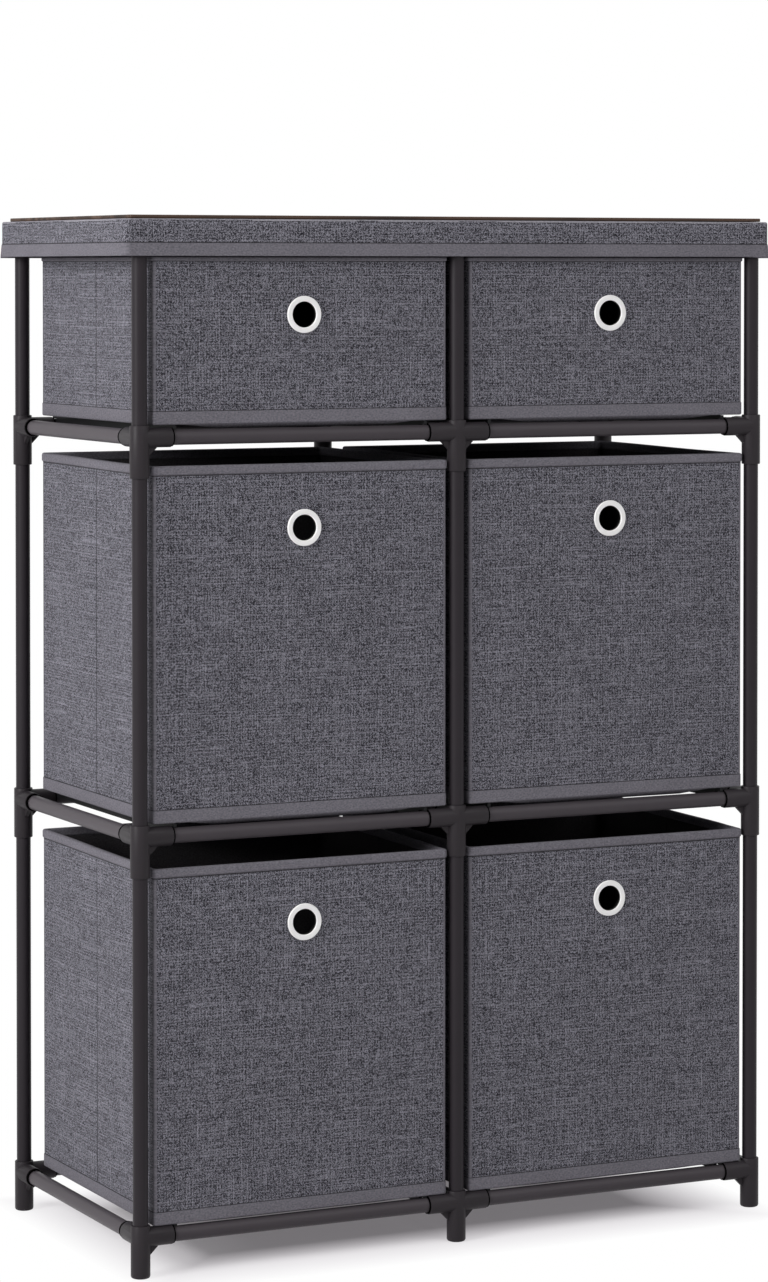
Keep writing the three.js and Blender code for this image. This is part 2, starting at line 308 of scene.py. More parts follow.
def pick(piece, kind, test):
    """In edit mode, selects the vertices, edges or faces that pass a test, and nothing else."""
    mode = {"verts": "VERT", "edges": "EDGE", "faces": "FACE"}[kind]
    bpy.ops.mesh.select_mode(type=mode)
    bpy.ops.mesh.select_all(action="DESELECT")
    cage = bmesh.from_edit_mesh(piece.data)
    for item in getattr(cage, kind):
        if test(item):
            item.select_set(True)
    cage.select_flush_mode()
    bmesh.update_edit_mesh(piece.data)


def settle(name):
    """Names the new primitive and puts its place into its mesh."""
    piece = bpy.context.object
    piece.name = name
    piece.data.name = name
    bpy.ops.object.transform_apply(location=True, rotation=True, scale=True)
    return piece


def discard(pieces):
    for piece in pieces:
        bpy.data.objects.remove(piece)


def widened(low, high, width):
    """A box grown on its four upright sides, or narrowed by a width below nothing."""
    margin = Vector((width, width, 0))
    return low - margin, high + margin


def block(name, low, high):
    deselect()
    bpy.ops.mesh.primitive_cube_add(size=1, location=(low + high) / 2, scale=high - low)
    return settle(name)


def turned(name, axis, centre, rings, sides, closing):
    """A turned shape: a circle drawn out from ring to ring, each a radius and a distance along the axis.
    Its ends are filled, or the last ring is bridged to the first."""
    turns = ((0, math.pi / 2, 0), (math.pi / 2, 0, 0), (0, 0, 0))
    turn = turns[max(range(3), key=lambda i: abs(axis[i]))]
    (radius, distance), *rest = rings
    deselect()
    bpy.ops.mesh.primitive_circle_add(
        vertices=sides, radius=radius, location=centre + axis * distance, rotation=turn
    )
    piece = settle(name)
    with editing(piece):
        bpy.ops.mesh.select_all(action="SELECT")
        for next_radius, next_distance in rest:
            step = axis * (next_distance - distance)
            bpy.ops.mesh.extrude_edges_move(TRANSFORM_OT_translate={"value": step})
            ratio = next_radius / radius
            bpy.ops.transform.resize(
                value=(ratio, ratio, ratio), center_override=centre + axis * next_distance
            )
            radius, distance = next_radius, next_distance
        if closing == "bridge":
            bpy.ops.mesh.select_all(action="DESELECT")
            bpy.ops.mesh.select_mode(type="EDGE")
            bpy.ops.mesh.select_non_manifold()
            bpy.ops.mesh.bridge_edge_loops()
        else:
            bpy.ops.mesh.select_all(action="SELECT")
            bpy.ops.mesh.fill_holes(sides=0)
        bpy.ops.mesh.select_all(action="SELECT")
        bpy.ops.mesh.normals_make_consistent(inside=False)
    return piece


def is_upright(edge):
    a, b = (vertex.co for vertex in edge.verts)
    return abs(a.z - b.z) > 0.9 * (a - b).length


def bevel_edges(piece, test, width, segments):
    """Bevels the edges that pass a test."""
    with editing(piece):
        pick(piece, "edges", test)
        bpy.ops.mesh.bevel(offset=width, segments=segments, affect="EDGES")


def walls(name, low, high, corner, closed=(), segments=6):
    """The walls of a box with rounded upright edges. closed names the ends that stay: floor, lid, both."""
    piece = block(name, low, high)
    with editing(piece):
        pick(piece, "faces", lambda face: (face.normal.z > 0.5 and "lid" not in closed)
             or (face.normal.z < -0.5 and "floor" not in closed))
        bpy.ops.mesh.delete(type="FACE")
        pick(piece, "edges", is_upright)
        bpy.ops.mesh.bevel(offset=corner, segments=segments, affect="EDGES")
    return piece


def cut_along(place, normal):
    """In edit mode, cuts all faces along a plane."""
    bpy.ops.mesh.select_all(action="SELECT")
    bpy.ops.mesh.bisect(plane_co=place, plane_no=normal)


def slice_up(piece, axis, low, high, step):
    """Cuts a piece's faces into even strips across an axis."""
    count = max(1, round((high - low) / step))
    with editing(piece):
        for i in range(1, count):
            cut_along(axis * (low + (high - low) * i / count), axis)


def modify(piece, kind, **settings):
    """Adds a modifier, sets it and applies it."""
    make_active(piece)
    modifier = piece.modifiers.new(kind.lower(), kind)
    for name, value in settings.items():
        setattr(modifier, name, value)
    bpy.ops.object.modifier_apply(modifier=modifier.name)


def thicken(piece, thickness):
    modify(piece, "SOLIDIFY", thickness=thickness, offset=-1, use_even_offset=True)


def round_edges(piece, width, segments=3):
    modify(piece, "BEVEL", width=width, segments=segments, limit_method="ANGLE", angle_limit=ROUND_ANGLE)


def combine(piece, operation, others):
    """Joins other solids to a piece or cuts them out of it."""
    for other in others:
        modify(piece, "BOOLEAN", operation=operation, object=other, solver="EXACT")
        discard([other])


def swell(piece, weigh, height, wave_size=None):
    """Pushes a surface out along its normals where the weight of a place is above nothing, evenly or in
    waves."""
    group = piece.vertex_groups.new(name="swell")
    for vertex in piece.data.vertices:
        group.add([vertex.index], weigh(vertex.co), "REPLACE")
    waves = None
    if wave_size:
        waves = bpy.data.textures.new("slack", "CLOUDS")
        waves.noise_scale = wave_size
        waves.noise_depth = 1
    modify(piece, "DISPLACE", strength=height, mid_level=0.5 if waves else 0, texture=waves,
           texture_coords="LOCAL", vertex_group=group.name)
    piece.vertex_groups.clear()


def smooth(piece):
    """Smooth shading over all but the sharp edges."""
    make_active(piece)
    bpy.ops.object.shade_smooth_by_angle(angle=SMOOTH_ANGLE)


def smooth_round_flats(piece):
    """The same for a piece with large flat faces, whose shading stays flat up to their rounded edges."""
    smooth(piece)
    modify(piece, "WEIGHTED_NORMAL", keep_sharp=True)


def duplicate(piece, name, shift=ORIGIN, turn=0):
    """A copy with its own mesh, turned about the Z axis and then moved."""
    make_active(piece)
    bpy.ops.object.duplicate()
    bpy.context.object.rotation_euler = (0, 0, turn)
    bpy.context.object.location = shift
    return settle(name)


def fit(piece, body, slot, finishes, *nodes):
    """Gives a finished piece its materials and its body, and hides the frame's nodes that it stands for.
    The slot is not used.
    """
    places = [face.material_index for face in piece.data.polygons]
    piece.data.materials.clear()
    for finish in finishes:
        piece.data.materials.append(finish)
    piece.data.polygons.foreach_set("material_index", places)
    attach(piece, body)
    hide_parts(*nodes)


def ramp_weight(distance, reach):
    """From 0 at an edge to 1 at a reach from it, smoothly."""
    t = min(1, max(0, distance / reach))
    return t * t * (3 - 2 * t)


# Shader maths


class Value:
    """A number that varies over a surface. Arithmetic on it adds Math nodes to its finish."""

    def __init__(self, finish, socket):
        self.finish = finish
        self.socket = socket

    def maths(self, operation, *terms):
        return self.finish.maths(operation, self, *terms)

    def __add__(self, other):
        return self.maths("ADD", other)

    def __sub__(self, other):
        return self.maths("SUBTRACT", other)

    def __mul__(self, other):
        return self.maths("MULTIPLY", other)

    def __rsub__(self, other):
        return self.finish.maths("SUBTRACT", other, self)

    __radd__ = __add__
    __rmul__ = __mul__


class Finish:
    """The nodes of a material or of the sky while they are laid."""

    def __init__(self, owner, coordinates="Object"):
        owner.use_nodes = True
        self.owner = owner
        self.tree = owner.node_tree
        self.tree.nodes.clear()
        self.place = self.node("ShaderNodeTexCoord").outputs[coordinates]

    def node(self, kind, settings=(), sockets=()):
        """Adds a node, with its settings first and then its sockets, each a number or a link."""
        node = self.tree.nodes.new(kind)
        for name, value in dict(settings).items():
            setattr(node, name, value)
        for name, value in dict(sockets).items():
            socket = node.inputs[name]
            source = value.socket if isinstance(value, Value) else value
            if isinstance(source, bpy.types.NodeSocket):
                self.tree.links.new(source, socket)
            else:
                socket.default_value = source
        return node

    def maths(self, operation, *terms):
        node = self.node("ShaderNodeMath", {"operation": operation}, dict(enumerate(terms)))
        return Value(self, node.outputs["Value"])

    def coordinates(self):
        split = self.node("ShaderNodeSeparateXYZ", sockets={"Vector": self.place})
        return [Value(self, split.outputs[axis]) for axis in "XYZ"]

    def vector(self, x, y, z=0):
        return self.node("ShaderNodeCombineXYZ", sockets={"X": x, "Y": y, "Z": z}).outputs["Vector"]

    def noise(self, place, scale=1, detail=0):
        """Soft noise about 0.5, with features about 1 / scale wide."""
        sockets = {"Vector": place, "Scale": scale, "Detail": detail}
        return Value(self, self.node("ShaderNodeTexNoise", sockets=sockets).outputs["Fac"])

    def chance(self, *place):
        """A number between 0 and 1 that is the same all over one cell and differs from cell to cell."""
        sockets = {"Vector": self.vector(*place)}
        node = self.node("ShaderNodeTexWhiteNoise", {"noise_dimensions": "3D"}, sockets)
        return Value(self, node.outputs["Value"])

    def blend(self, factor, first, second):
        """A colour between two, each three numbers or a socket."""
        node = self.node("ShaderNodeMix", {"data_type": "RGBA"}, {"Factor": factor})
        for socket, tone in zip((node.inputs[6], node.inputs[7]), (first, second)):
            if isinstance(tone, bpy.types.NodeSocket):
                self.tree.links.new(tone, socket)
            else:
                socket.default_value = (*tone, 1)
        return node.outputs[2]

    def bump(self, height, distance, strength):
        sockets = {"Height": height, "Distance": distance, "Strength": strength}
        return self.node("ShaderNodeBump", sockets=sockets).outputs["Normal"]

    def surface(self, sockets):
        """Ends the material in a plain surface shader and returns the material."""
        shader = self.node("ShaderNodeBsdfPrincipled", sockets=sockets)
        self.node("ShaderNodeOutputMaterial", sockets={"Surface": shader.outputs["BSDF"]})
        return self.owner


def clamp(value, low=0.0, high=1.0):
    return value.maths("MAXIMUM", low).maths("MINIMUM", high)


# Finishes


# Width of a thread of the linen
THREAD = 0.00065


def linen(name, dark, light, contrast=1.0, laid_flat=False):
    """Slub linen: each thread has its own drifting tone and shows where it passes over, with long thick
    threads here and there."""
    cloth = Finish(bpy.data.materials.new(name))
    x, y, z = cloth.coordinates()
    across, along = (x, y) if laid_flat else (x.maths("ABSOLUTE") - y.maths("ABSOLUTE"), z)
    drift = cloth.noise(cloth.place, 22) * 0.0014
    column, row = (across + drift) * (1 / THREAD), (along - drift) * (1 / THREAD)
    thread_up, thread_across = column.maths("FLOOR"), row.maths("FLOOR")
    weft_over = (thread_up + thread_across).maths("FLOORED_MODULO", 2)
    crossing = cloth.chance(thread_up, thread_across)
    weft = cloth.noise(cloth.vector(across * 90, thread_across * 4.7)) - 0.5
    warp = cloth.noise(cloth.vector(thread_up * 4.7, along * 80, 7)) - 0.5
    patch = cloth.noise(cloth.place, 26, 1) - 0.5
    long_slub = clamp(cloth.noise(cloth.vector(across * 16, thread_across * 0.9, 20)) - 0.64)
    tall_slub = clamp(cloth.noise(cloth.vector(thread_up * 0.9, along * 20, 30)) - 0.66)
    weft_tone = weft * 0.8 + long_slub * 9 + 0.08
    warp_tone = warp * 0.7 + tall_slub * 6 - 0.12
    thread_tone = warp_tone + (weft_tone - warp_tone) * weft_over
    basket = (column * (math.pi / 2)).maths("SINE") + (row * (math.pi / 2)).maths("SINE")
    fine = thread_tone + (crossing - 0.5) * 1.3 + basket * 0.1
    tone = 0.34 + fine * contrast + patch * 0.08
    return cloth.surface({
        "Base Color": cloth.blend(clamp(tone), dark, light),
        "Roughness": 0.92,
        "Specular IOR Level": 0.15,
        "Sheen Weight": 0.12,
        "Sheen Roughness": 0.35,
        "Normal": cloth.bump(fine, 0.00014, 0.5),
    })


def plain_cloth(name, tone, gloss=0.15):
    """Close plain cloth or felted lining: a fine grain with hardly any weave."""
    grain = 0.3
    cloth = Finish(bpy.data.materials.new(name))
    x, y, z = cloth.coordinates()
    across = x + y
    thread = cloth.noise(cloth.vector(across * 500, z * 900)) - 0.5
    fuzz = cloth.noise(cloth.place, 620, 1) - 0.5
    wash = cloth.noise(cloth.place, 18, 1) - 0.5
    factor = clamp(0.5 + thread * 1.1 + fuzz * 1.1 + wash * 0.4)
    darker = [channel * (1 - grain) for channel in tone]
    lighter = [channel * (1 + grain) for channel in tone]
    return cloth.surface({
        "Base Color": cloth.blend(factor, darker, lighter),
        "Roughness": 0.9,
        "Specular IOR Level": gloss,
        "Normal": cloth.bump(thread + fuzz, 0.00012, 0.6),
    })


def powder_coat(name, paint, roughness=0.42):
    """Satin paint on steel: a faint orange-peel skin and a little dust."""
    coat = Finish(bpy.data.materials.new(name))
    peel = coat.noise(coat.place, 900, 1)
    cloud = coat.noise(coat.place, 35, 2)
    lighter = [channel * 1.15 for channel in paint]
    return coat.surface({
        "Base Color": coat.blend(cloud, paint, lighter),
        "Roughness": (cloud - 0.5) * 0.12 + roughness,
        "Specular IOR Level": 0.15,
        "Normal": coat.bump(peel, 0.00002, 0.4),
    })


def moulded_plastic(name, plastic, roughness=0.45, gloss=0.15):
    """Moulded plastic with a finely blasted skin."""
    skin = Finish(bpy.data.materials.new(name))
    grain = skin.noise(skin.place, 1300, 1)
    cloud = skin.noise(skin.place, 60, 2)
    darker = [channel * 0.93 for channel in plastic]
    lighter = [min(1, channel * 1.05) for channel in plastic]
    return skin.surface({
        "Base Color": skin.blend(cloud, darker, lighter),
        "Roughness": (cloud - 0.5) * 0.1 + roughness,
        "Specular IOR Level": gloss,
        "Normal": skin.bump(grain, 0.00002, 0.5),
    })


def stained_wood(name, heartwood, sapwood):
    """Dark stained board: long wandering grain along X, fine pores and a few rays."""
    wood = Finish(bpy.data.materials.new(name))
    x, y, z = wood.coordinates()
    drift = wood.noise(wood.vector(x * 3, y * 9, z * 9), 1, 2) * 0.05
    rings = wood.noise(wood.vector(x * 5, (y + drift) * 85, z * 85), 1, 3)
    pores = wood.noise(wood.vector(x * 60, y * 1500, z * 1500), 1, 1)
    streak = clamp((rings - 0.34) * 2.6)
    factor = clamp(streak - clamp(pores - 0.56) * 2.4)
    return wood.surface({
        "Base Color": wood.blend(factor, heartwood, sapwood),
        "Roughness": 0.62 - factor * 0.12,
        "Specular IOR Level": 0.3,
        "Normal": wood.bump(rings * 0.6 - pores * 0.5, 0.0002, 0.5),
    })


def seen_by_eye(finish):
    """1 for what the camera, a mirror or glass sees directly, and 0 for light that only bounces."""
    path = finish.node("ShaderNodeLightPath")
    seen = Value(finish, path.outputs["Is Camera Ray"])
    for ray in ("Is Glossy Ray", "Is Transmission Ray"):
        seen = seen.maths("MAXIMUM", path.outputs[ray])
    return seen


def studio_floor(name, s):
    """Pale floor that takes the shadow under the dresser, and to the eye turns to plain white round it.
    In the shadow itself it glows with a tinted white: painted light that lifts and tints the shadow."""
    ground = Finish(bpy.data.materials.new(name))
    x, y, _ = ground.coordinates()
    beside = x.maths("ABSOLUTE") - s.floor_half_width
    before = y.maths("ABSOLUTE") - s.floor_half_depth
    # far never drops below its least share of white, so the shadow itself glows: painted light that lifts it
    far = clamp(beside.maths("MAXIMUM", before).maths("MAXIMUM", 0) * (1 / s.floor_fade) + s.shadow_glow_share)
    matt = ground.node("ShaderNodeBsdfDiffuse", sockets={"Color": (*s.floor_colour, 1)})
    glow = ground.blend(far, s.shadow_glow_tint, (1, 1, 1))
    white = ground.node("ShaderNodeEmission", sockets={"Color": glow, "Strength": 1.0})
    both = ground.node("ShaderNodeMixShader", sockets={
        0: far * seen_by_eye(ground), 1: matt.outputs["BSDF"], 2: white.outputs["Emission"],
    })
    ground.node("ShaderNodeOutputMaterial", sockets={"Surface": both.outputs["Shader"]})
    return ground.owner


# Pieces


# Widths of the strips that a surface is cut into before it is bent
PANEL_STRIP = 0.021
RIM_STRIP = 0.02
COVER_STRIP = 0.02
SKIRT_STRIP = 0.007
COVER_HEM_STRIP = 0.03
# How far from an edge or a ring a drawer's linen is still stiff, and over which distance it comes free
EDGE_STIFF, EDGE_REACH = 0.012, 0.09
RING_STIFF, RING_REACH = 0.016, 0.035
RIM_REACH, FOLD_REACH = 0.06, 0.03
# How far the linen reaches up into a rim's hem, and how much of the hem stays above it
TUCK, LEAST_HEM = 0.0045, 0.0008


def tube(name, axis, node):
    """A hollow steel tube round the origin, as long as a node."""
    tubes = chosen("tubes")
    low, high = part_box(node)
    half = (high - low).dot(axis) / 2
    inner = tubes.radius - tubes.wall
    rings = [(tubes.radius, -half), (tubes.radius, half), (inner, half), (inner, -half)]
    piece = turned(name, axis, ORIGIN, rings, tubes.sides, "bridge")
    smooth(piece)
    return piece


def solid_rod(name, axis, rings, sides):
    return turned(name, axis, ORIGIN, rings, sides, "fill")


def neck_start(way):
    """Where a socket's neck begins, from the post's axis."""
    c = chosen("connectors")
    return c.reach - (c.neck_length if "x" in way else c.deep_neck)


def socket(way):
    """The solid of one socket: a rounded rim and then a short neck at its open end."""
    c = chosen("connectors")
    rim = neck_start(way)
    soft = c.lip / 3
    rings = [(c.radius, 0), (c.radius, rim - c.lip), (c.radius - soft, rim - soft), (c.radius - c.lip, rim),
             (c.radius - c.neck, rim), (c.radius - c.neck, c.reach)]
    return solid_rod(f"socket {way}", WAYS[way], rings, c.sides)


def web(way):
    """The web under a socket, with its slanting corner."""
    c = chosen("connectors")
    tube_radius = chosen("tubes").radius
    half = c.web_thickness / 2
    low = Vector((tube_radius, -half, -c.web_drop))
    high = Vector((c.web_reach, half, -tube_radius))
    piece = block("web", low, high)

    def is_outer_corner(edge):
        return all(v.co.x > high.x - HAIR and v.co.z < low.z + HAIR for v in edge.verts)

    bevel_edges(piece, is_outer_corner, c.web_slope, 1)
    turned_web = duplicate(piece, f"web {way}", turn=math.atan2(WAYS[way].y, WAYS[way].x))
    discard([piece])
    return turned_web


def sleeve(name, below, rounding):
    """The upright solid of a connector, with its lower and upper rims rounded."""
    c = chosen("connectors")
    soft = rounding / 3
    rings = [(c.radius - rounding, -below), (c.radius - soft, -below + soft), (c.radius, -below + rounding),
             (c.radius, c.above - c.lip), (c.radius - c.lip / 3, c.above - c.lip / 3),
             (c.radius - c.lip, c.above)]
    return solid_rod(name, Z_AXIS, rings, c.sides)


def connector(kind, column):
    """A front connector round the origin. kind is foot, joint or cap: closed below, open both ways, or
    closed above. Turned half round, it serves the rear of the other side."""
    c = chosen("connectors")
    ways = {"left": ["+x", "+y"], "centre": ["-x", "+x", "+y"], "right": ["-x", "+y"]}[column]
    below = c.cap_below if kind == "cap" else c.below
    bore = chosen("tubes").radius + c.clearance
    piece = sleeve(f"{kind}_{column}", below, c.foot_round if kind == "foot" else c.lip)
    combine(piece, "UNION", [socket(way) for way in ways])
    if kind != "cap":
        combine(piece, "UNION", [web(way) for way in ways])
    bottom = -below + c.foot_floor if kind == "foot" else -below - OVER
    top = bore if kind == "cap" else c.above + OVER
    cutters = [solid_rod("post bore", Z_AXIS, [(bore, bottom), (bore, top)], c.sides)]
    for way in ways:
        rings = [(bore, c.socket_floor), (bore, c.reach + OVER)]
        cutters.append(solid_rod("bore", WAYS[way], rings, c.sides))
    combine(piece, "DIFFERENCE", cutters)
    smooth(piece)
    # The necks' faces take material 1, painted shade for the dark ring at each socket's mouth
    for face in piece.data.polygons:
        reaches = (face.center.dot(WAYS[way]) > neck_start(way) - 0.00005 for way in ways)
        face.material_index = int(any(reaches))
    return piece


def place_connectors(patterns, kind, level, finishes):
    """Copies the connectors of the three columns to the front and the rear of one level."""
    stem, ending = ("connector", f"_{level}") if kind == "joint" else (kind, "")
    for column in COLUMNS:
        for row, pattern, turn in (("front", column, 0), ("rear", OPPOSITE[column], math.pi)):
            name = f"{stem}_{row}_{column}{ending}"
            place = Vector((*POST_PLACE[row, column].xy, rail_height(level)))
            piece = duplicate(patterns[pattern], f"{name}_moulding", place, turn)
            node = name if row == "front" else f"rear_crossbar_{level}"
            fit(piece, RIGID_BODY, "connector", finishes, "top_frame" if level == "top" else node)


def make_hem(name, low, high, corner, thickness, rounding, step):
    """A folded band round a box: a ring with a soft fold above and below."""
    inset = Vector((thickness, thickness, -OVER))
    piece = walls(name, low, high, corner, closed=("floor", "lid"))
    core = walls("core", low + inset, high - inset, thickness / 2, closed=("floor", "lid"))
    combine(piece, "DIFFERENCE", [core])
    round_edges(piece, rounding, segments=4)
    slice_up(piece, X_AXIS, low.x, high.x, step)
    slice_up(piece, Y_AXIS, low.y, high.y, step)
    return piece


def bend(piece, test, step, reach):
    """Moves the vertices that pass a test up or down, and those near them less and less."""
    with editing(piece):
        pick(piece, "verts", test)
        bpy.ops.transform.translate(
            value=(0, 0, step), use_proportional_edit=True, proportional_edit_falloff="SMOOTH",
            proportional_size=reach,
        )


def upright_bindings(name, low, high):
    """The four plain strips that wrap the upright edges of a drawer."""
    d = chosen("drawers")
    proud = 0.00035
    piece = walls(name, *widened(low, high, proud), d.corner + proud)
    centre = (low + high) / 2
    half_x = high.x - d.corner - d.binding - centre.x
    half_y = high.y - d.corner - d.binding - centre.y

    def is_between(face):
        offset = face.calc_center_median() - centre
        return abs(offset.x) < half_x or abs(offset.y) < half_y

    with editing(piece):
        for axis, half in ((X_AXIS, half_x), (Y_AXIS, half_y)):
            for side in (-1, 1):
                cut_along(centre + axis * side * half, axis)
        pick(piece, "faces", is_between)
        bpy.ops.mesh.delete(type="FACE")
    thicken(piece, proud)
    return piece


def free_of_edges(low, high, hole):
    """How freely a place on a drawer's walls moves: from 0 at edges, eyelet and fold line to 1 between
    them."""
    d = chosen("drawers")
    centre = (low + high) / 2

    def weigh(place):
        on_front_or_back = abs(place.y - centre.y) > high.y - centre.y - 0.001
        axis = 0 if on_front_or_back else 1
        from_edges = min(place[axis] - low[axis], high[axis] - place[axis])
        from_rims = min(place.z - low.z, high.z - place.z)
        weight = ramp_weight(from_edges - d.corner - EDGE_STIFF, EDGE_REACH)
        weight *= ramp_weight(from_rims, RIM_REACH)
        weight *= ramp_weight((place - hole).length - RING_STIFF, RING_REACH)
        return weight * ramp_weight(abs(place.y - centre.y), FOLD_REACH)

    return weigh


def drawer_panels(name, low, high, hole):
    """The skin of the linen walls and floor, swollen between its edges, with a fold line down each side."""
    d = chosen("drawers")
    piece = walls(name, low, high, d.corner, closed=("floor",))
    centre = (low + high) / 2
    with editing(piece):
        for shift in (-d.crease_width, 0, d.crease_width):
            cut_along(centre + Y_AXIS * shift, Y_AXIS)
        for side, edge_x in ((-1, low.x), (1, high.x)):
            pick(piece, "verts", lambda v: abs(v.co.y - centre.y) < HAIR and abs(v.co.x - edge_x) < HAIR)
            bpy.ops.transform.translate(value=(-side * d.crease, 0, 0))
    for axis, start, end in ((X_AXIS, low.x, high.x), (Z_AXIS, low.z, high.z),
                             (Y_AXIS, low.y, centre.y - d.crease_width),
                             (Y_AXIS, centre.y + d.crease_width, high.y)):
        slice_up(piece, axis, start, end, PANEL_STRIP)
    swell(piece, free_of_edges(low, high, hole), d.bulge)
    return piece


def seam_line(name, low, high, corner, height):
    """The dark thread of a seam round a box, at a height. Its darkness is partly painted shade along the hem
    beside it.
    """
    proud = 0.0004
    seam_low, seam_high = widened(low, high, proud)
    seam_low.z, seam_high.z = height, height + chosen("drawers").seam
    piece = walls(name, seam_low, seam_high, corner + proud)
    thicken(piece, proud * 2)
    return piece


def pierce(pieces, centre):
    """Cuts the eyelet's round hole through a drawer's front."""
    e = chosen("eyelets")
    reach = 0.02
    for piece in pieces:
        cutter = turned("cutter", Y_AXIS, centre, [(e.barrel, -reach), (e.barrel, reach)], e.sides, "fill")
        combine(piece, "DIFFERENCE", [cutter])


def slope_rim(piece, low, high, level):
    """Lifts the rear of a large drawer's rim or rim seam, and lets the front of the lowest ones sink."""
    d = chosen("drawers")
    rear_reach = (high.y - low.y) * 0.7
    bend(piece, lambda v: v.co.y > high.y - RIM_STRIP, d.rear_rise, rear_reach)
    if level == "lower":
        bend(piece, lambda v: v.co.y < low.y + d.hem_thickness, -d.front_sink, d.front_reach)


def hang_floor(piece, low, high, depth):
    """Lets the middle of a bottom band's floor hang down between the support bars. It gets material 1."""
    half = (high - low) / 2
    with editing(piece):
        pick(piece, "faces", lambda face: face.normal.z < -0.99
             and face.calc_center_median().z < low.z + HAIR)
        # Half the width of each new ring of edges, its inset at the front and rear, and its step down
        for width, inset, step in ((0.112, 0.001, 0), (0.081, 0.003, -depth)):
            bpy.ops.mesh.extrude_region_move(TRANSFORM_OT_translate={"value": (0, 0, step)})
            ratio = (width / half.x, 1 - inset / half.y, 1)
            bpy.ops.transform.resize(value=ratio, center_override=(low + high) / 2)
            half = Vector((width, half.y - inset, 0))
    for face in piece.data.polygons:
        face.material_index = int(face.normal.z < -0.7 and face.center.z < low.z + 0.00003)


def eyelet_place(drawer):
    """The middle of an eyelet, at the surface of the wall that it clasps."""
    e = chosen("eyelets")
    low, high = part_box(f"grommet_{drawer}")
    place = (low + high) / 2 + Vector((e.aside, 0, e.lift))
    place.y = low.y + e.gap + e.front_thickness
    return place


def drawer_box(node):
    """The corners of a drawer's linen box, without the hem that stands out from it, and the place of its
    eyelet's hole."""
    low, high = widened(*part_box(node), -chosen("drawers").cad_hem)
    hole = eyelet_place(node.removeprefix("drawer_"))
    hole.y = low.y
    return low, high, hole


def panel_box(low, high, rim_height):
    """The corners of the linen walls, which end inside the rim's hem."""
    return low + Z_AXIS * chosen("drawers").base_proud, high - Z_AXIS * max(LEAST_HEM, rim_height - TUCK)


def rim_height_of(level):
    d = chosen("drawers")
    return d.small_hem_height if level == "upper" else d.hem_height


def model_drawer(level):
    """The pieces of a level's left drawer, by their kind. The linen has no thickness and no hole yet."""
    d = chosen("drawers")
    low, high, hole = drawer_box(f"drawer_left_{level}")
    rim_height = rim_height_of(level)
    panel_low, panel_high = panel_box(low, high, rim_height)
    panels = drawer_panels("panels", panel_low, panel_high, hole)

    lining_low, lining_high = widened(low, panel_high, -d.cloth)
    lining_low += Z_AXIS * (d.cloth + d.base_proud)
    lining = walls("lining", lining_low, lining_high, d.lining * 1.6, closed=("floor",), segments=4)
    thicken(lining, d.lining)

    rim_low, rim_high = widened(low, high, d.hem_proud)
    rim_low.z = high.z - rim_height
    rounding = min(d.hem_round, rim_height * 0.3)
    rim = make_hem("rim", rim_low, rim_high, d.corner + d.hem_proud, d.hem_thickness, rounding, RIM_STRIP)

    base_low, base_high = widened(low, high, d.base_proud)
    base_high.z = low.z + d.base_height
    base = walls("base", base_low, base_high, d.corner + d.base_proud, closed=("floor",))
    thicken(base, d.base_proud * 0.95)
    bevel_edges(base, lambda edge: all(v.co.z < base_low.z + HAIR for v in edge.verts), d.base_round, 4)

    strip_low = Vector((*low.xy, base_high.z - d.base_drop - OVER))
    strip_high = Vector((*high.xy, rim_low.z + 0.003))
    bindings = upright_bindings("bindings", strip_low, strip_high)
    # The seam lines are partly painted shade along the hems
    seam = seam_line("seam", low, high, d.corner, rim_low.z - d.seam * 0.6)
    slice_up(seam, Y_AXIS, rim_low.y, rim_high.y, RIM_STRIP)
    base_seam = seam_line("base_seam", low, high, d.corner, base_high.z - d.seam * 0.4)
    return {"panels": panels, "lining": lining, "rim": rim, "base": base, "bindings": bindings,
            "seam": seam, "base_seam": base_seam}


def copy_drawer(patterns, pattern_level, side, level):
    """A copy of a drawer's pieces in the place of another drawer, with its own slack in the linen."""
    d = chosen("drawers")
    node = f"drawer_{side}_{level}"
    shift = middle(node) - middle(f"drawer_left_{pattern_level}")
    drop = Z_AXIS * (d.base_drop if level == "lower" else 0)
    lift = Z_AXIS * {"lower": d.low_rim_lift, "middle": d.rim_lift, "upper": 0}[level]
    sag = d.low_sag if level == "lower" else d.sag
    steps = {"base": -drop, "base_seam": -drop, "rim": lift, "seam": lift}
    pieces = {}
    for kind, pattern in patterns.items():
        pieces[kind] = duplicate(pattern, f"{node}_{kind}", shift + steps.get(kind, Vector()))
    low, high, hole = drawer_box(node)
    if level != "upper":
        for kind in ("rim", "seam"):
            slope_rim(pieces[kind], low, high, level)
    panel_low, panel_high = panel_box(low, high, rim_height_of(level))
    swell(pieces["panels"], free_of_edges(panel_low, panel_high, hole), d.slack, d.slack_size)
    thicken(pieces["panels"], d.cloth)
    pierce([pieces["panels"], pieces["lining"]], hole)
    floor_low, floor_high = widened(low - drop, high - drop, d.base_proud + d.base_round)
    hang_floor(pieces["base"], floor_low, floor_high, sag)
    for piece in pieces.values():
        smooth_round_flats(piece)
    # The crease's slopes take the seam thread: partly stitching, partly painted shade in the fold
    fold = (low.y + high.y) / 2
    for face in pieces["panels"].data.polygons:
        face.material_index = int(abs(face.center.y - fold) < d.crease_width and abs(face.normal.x) > 0.5)
    return pieces


def covering_box(node):
    """The corners of the cover's or the board's node, moved to where it lies on the frame."""
    return [corner - X_AXIS * chosen("cover").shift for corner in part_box(node)]


